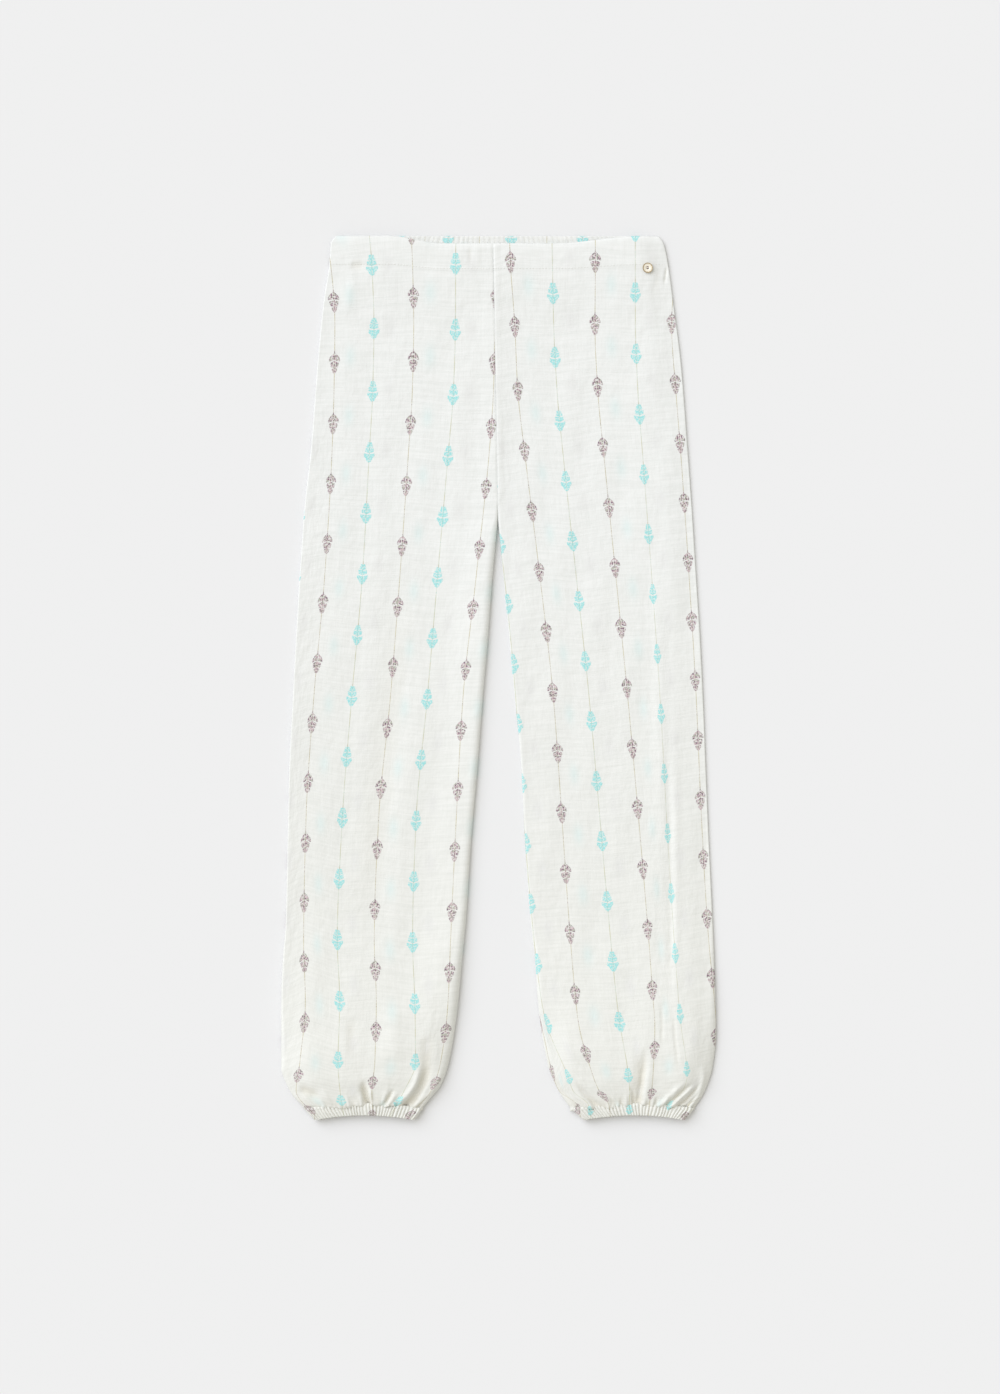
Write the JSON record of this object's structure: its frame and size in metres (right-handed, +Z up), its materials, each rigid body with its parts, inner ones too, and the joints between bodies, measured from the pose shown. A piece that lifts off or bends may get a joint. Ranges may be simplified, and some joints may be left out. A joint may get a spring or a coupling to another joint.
{
  "type": "harem pants",
  "caption": "Light cotton harem pants laid flat, front up: flat front waist, gathered elastic back waist, full hems on gathered elastic ankle cuffs.",
  "frame": {"origin": "middle of the underside's bounding box, on the surface that the garment lies on", "axes": "+Y from the ankles to the waist, +X to the right as seen from above with the front up, +Z up out of the front"},
  "size_m": [0.491, 0.998, 0.0212],
  "materials": {
    "cloth": "matte slub cotton with woven stripes and leaves",
    "badge_metal": "pale gold, softly polished"
  },
  "bodies": {
    "root": {"back_left_leg": "cloth", "back_right_leg": "cloth", "front_left_leg": "cloth", "front_right_leg": "cloth", "back_waist_casing": "cloth", "front_waist_facing": "cloth", "left_ankle_cuff": "cloth", "right_ankle_cuff": "cloth", "badge": "badge_metal"}
  },
  "joints": []
}
